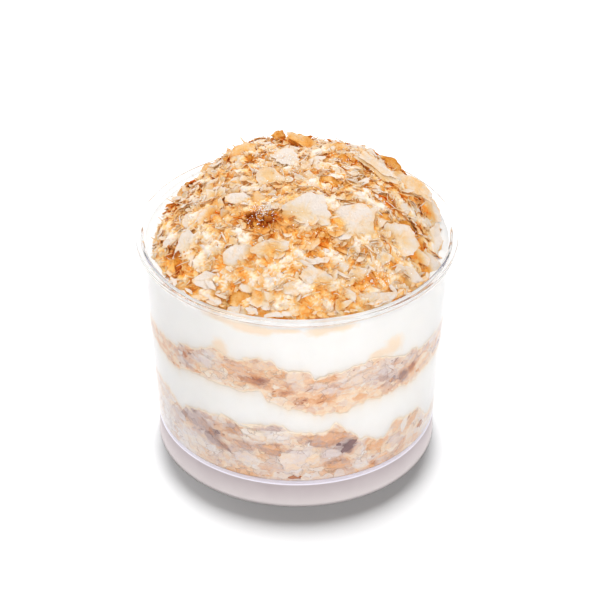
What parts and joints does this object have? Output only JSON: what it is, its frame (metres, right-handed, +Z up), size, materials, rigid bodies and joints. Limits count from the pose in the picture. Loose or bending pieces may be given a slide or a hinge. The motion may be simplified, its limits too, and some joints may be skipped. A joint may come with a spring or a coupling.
{
  "type": "mille-feuille cup",
  "caption": "Layered dessert in a clear tapered cup: broken puff pastry and white cream in turn behind the wall, under a tall heap of golden pastry flakes.",
  "frame": {"origin": "centre of the cup's foot, on the surface it stands on", "axes": "+Z up along the cup's axis, -Y towards the viewer of the picture, +X to that viewer's right"},
  "size_m": [0.08, 0.08, 0.0785],
  "materials": {
    "clear_plastic": "clear, polished",
    "soaked_pastry": "moist, flaky",
    "cream": "smooth, soft sheen",
    "baked_flakes": "crisp, flaky"
  },
  "bodies": {
    "root": {"cup": "clear_plastic", "pastry_base": "soaked_pastry", "cream_lower": "cream", "pastry_middle": "soaked_pastry", "cream_upper": "cream", "flake_heap": "baked_flakes"}
  },
  "joints": []
}
